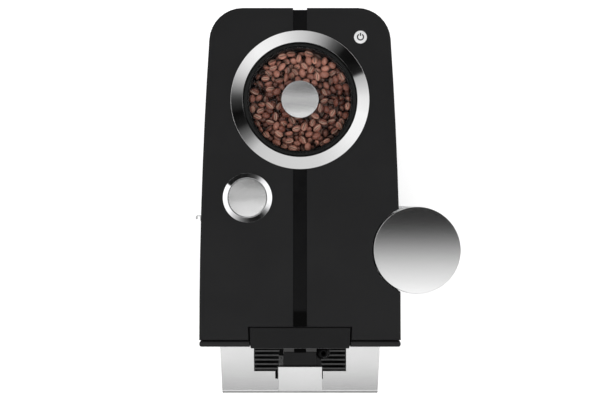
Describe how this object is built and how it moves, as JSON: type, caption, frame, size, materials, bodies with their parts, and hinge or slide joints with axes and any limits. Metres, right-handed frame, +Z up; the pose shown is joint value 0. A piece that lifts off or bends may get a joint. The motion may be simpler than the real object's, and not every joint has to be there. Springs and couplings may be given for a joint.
{
  "type": "bean to cup coffee machine",
  "caption": "Compact countertop coffee machine with round bean container, side water tank, height-adjustable spout, drip tray and built-in grinder.",
  "frame": {"origin": "on the counter, under the middle of the machine's bounding box", "axes": "+X to the machine's right as its user faces it, +Y to its rear wall, +Z up"},
  "size_m": [0.2806, 0.4494, 0.323],
  "materials": {
    "satin_black": "satin",
    "panel_black": "satin",
    "gloss_black": "gloss",
    "display": "gloss",
    "dark_plastic": "matte",
    "silver_plastic": "satin silver lacquer",
    "satin_metal": "satin",
    "polished_metal": "polished",
    "clear_plastic": "clear",
    "pale_plastic": "translucent",
    "coffee_beans": "oily roast",
    "steel": "plain",
    "rubber": "matte",
    "board_green": "lacquered board",
    "hose_silicone": "matte"
  },
  "bodies": {
    "root": {"base_plate": "dark_plastic", "foot_front_left": "rubber", "foot_front_right": "rubber", "foot_rear_left": "rubber", "foot_rear_right": "rubber", "housing_shell": "satin_black", "top_cover": "satin_black", "centre_strip_front": "gloss_black", "centre_strip_rear": "gloss_black", "front_panel": "panel_black", "display_head": "gloss_black", "display_glass": "display", "bean_hopper": "clear_plastic", "bean_fill": "coffee_beans", "hopper_ring": "polished_metal", "burr_chamber": "dark_plastic", "upper_burr": "steel", "grinder_motor": "steel", "ground_coffee_chute": "dark_plastic", "filler_funnel": "dark_plastic", "tank_dock": "dark_plastic", "hose_clip": "pale_plastic", "spout_rail": "dark_plastic", "inner_frame": "steel", "brew_cylinder": "dark_plastic", "pump_body": "steel", "heater_block": "steel", "control_board": "board_green", "power_inlet": "rubber", "suction_hose": "hose_silicone", "pressure_hose": "hose_silicone"},
    "bean_lid": {"lid_rim": "gloss_black", "lid_window": "clear_plastic", "lid_knob": "satin_metal"},
    "grind_dial": {"grind_dial": "dark_plastic"},
    "burr_rotor": {"lower_burr": "steel"},
    "filler_lid": {"filler_ring": "polished_metal", "filler_disc": "satin_metal"},
    "tank": {"water_tank": "clear_plastic"},
    "tank_lid": {"tank_lid": "satin_metal"},
    "tank_valve": {"tank_valve": "rubber"},
    "power_button": {"power_button": "satin_metal"},
    "key_left_1": {"key_left_1": "dark_plastic"},
    "key_left_2": {"key_left_2": "dark_plastic"},
    "key_left_3": {"key_left_3": "dark_plastic"},
    "key_right_1": {"key_right_1": "dark_plastic"},
    "key_right_2": {"key_right_2": "dark_plastic"},
    "key_right_3": {"key_right_3": "dark_plastic"},
    "spout": {"spout_body": "gloss_black", "spout_cover": "silver_plastic", "coffee_nozzle_left": "steel", "coffee_nozzle_right": "steel", "milk_connector": "gloss_black"},
    "drip_tray": {"tray_shell": "silver_plastic", "tray_pan": "dark_plastic", "grounds_container": "panel_black"},
    "cup_grille": {"cup_grille": "dark_plastic"},
    "brew_spindle": {"brew_spindle": "steel"},
    "brew_piston": {"brew_piston": "gloss_black"},
    "pump_plunger": {"pump_plunger": "steel"}
  },
  "joints": [
    {"name": "bean_lid_lift", "type": "slide", "parent": "root", "child": "bean_lid", "axis": [0, 0, 1], "range_m": [0, 0.05]},
    {"name": "grind_dial_turn", "type": "hinge", "parent": "root", "child": "grind_dial", "pos_m": [-0.02787, 0.1286, 0.2481], "axis": [0, 0, 1], "range_deg": [-60, 60]},
    {"name": "burr_spin", "type": "hinge", "parent": "root", "child": "burr_rotor", "pos_m": [-0.02787, 0.1286, 0.2242], "axis": [0, 0, 1], "continuous": true},
    {"name": "filler_lid_hinge", "type": "hinge", "parent": "root", "child": "filler_lid", "pos_m": [-0.08257, 0.0523, 0.3168], "axis": [-1, 0, 0], "range_deg": [0, 100]},
    {"name": "tank_lift", "type": "slide", "parent": "root", "child": "tank", "axis": [0, 0, 1], "range_m": [0, 0.26]},
    {"name": "tank_lid_lift", "type": "slide", "parent": "tank", "child": "tank_lid", "axis": [0, 0, 1], "range_m": [0, 0.05]},
    {"name": "tank_valve_lift", "type": "slide", "parent": "tank", "child": "tank_valve", "axis": [0, 0, 1], "range_m": [0, 0.003], "stiffness_N_per_m": 200},
    {"name": "power_press", "type": "slide", "parent": "root", "child": "power_button", "axis": [0, 0, -1], "range_m": [0, 0.0012], "stiffness_N_per_m": 800},
    {"name": "key_left_1_press", "type": "slide", "parent": "root", "child": "key_left_1", "axis": [0, 1, 0], "range_m": [0, 0.001], "stiffness_N_per_m": 800},
    {"name": "key_left_2_press", "type": "slide", "parent": "root", "child": "key_left_2", "axis": [0, 1, 0], "range_m": [0, 0.001], "stiffness_N_per_m": 800},
    {"name": "key_left_3_press", "type": "slide", "parent": "root", "child": "key_left_3", "axis": [0, 1, 0], "range_m": [0, 0.001], "stiffness_N_per_m": 800},
    {"name": "key_right_1_press", "type": "slide", "parent": "root", "child": "key_right_1", "axis": [0, 1, 0], "range_m": [0, 0.001], "stiffness_N_per_m": 800},
    {"name": "key_right_2_press", "type": "slide", "parent": "root", "child": "key_right_2", "axis": [0, 1, 0], "range_m": [0, 0.001], "stiffness_N_per_m": 800},
    {"name": "key_right_3_press", "type": "slide", "parent": "root", "child": "key_right_3", "axis": [0, 1, 0], "range_m": [0, 0.001], "stiffness_N_per_m": 800},
    {"name": "spout_height", "type": "slide", "parent": "root", "child": "spout", "axis": [0, 0, 1], "range_m": [0, 0.055]},
    {"name": "tray_slide", "type": "slide", "parent": "root", "child": "drip_tray", "axis": [0, -1, 0], "range_m": [0, 0.15]},
    {"name": "grille_lift", "type": "slide", "parent": "drip_tray", "child": "cup_grille", "axis": [0, 0, 1], "range_m": [0, 0.03]},
    {"name": "brew_spindle_turn", "type": "hinge", "parent": "root", "child": "brew_spindle", "pos_m": [-0.04457, 0.0266, 0.1183], "axis": [0, 0, 1], "range_deg": [0, 1080]},
    {"name": "brew_piston_slide", "type": "slide", "parent": "root", "child": "brew_piston", "axis": [0, 0, 1], "range_m": [0, 0.0241]},
    {"name": "pump_stroke", "type": "slide", "parent": "root", "child": "pump_plunger", "axis": [0, 1, 0], "range_m": [0, 0.006], "stiffness_N_per_m": 500}
  ],
  "couplings": [
    {"joint": "brew_piston_slide", "follows": "brew_spindle_turn", "m_per_rad": 0.0012732}
  ]
}
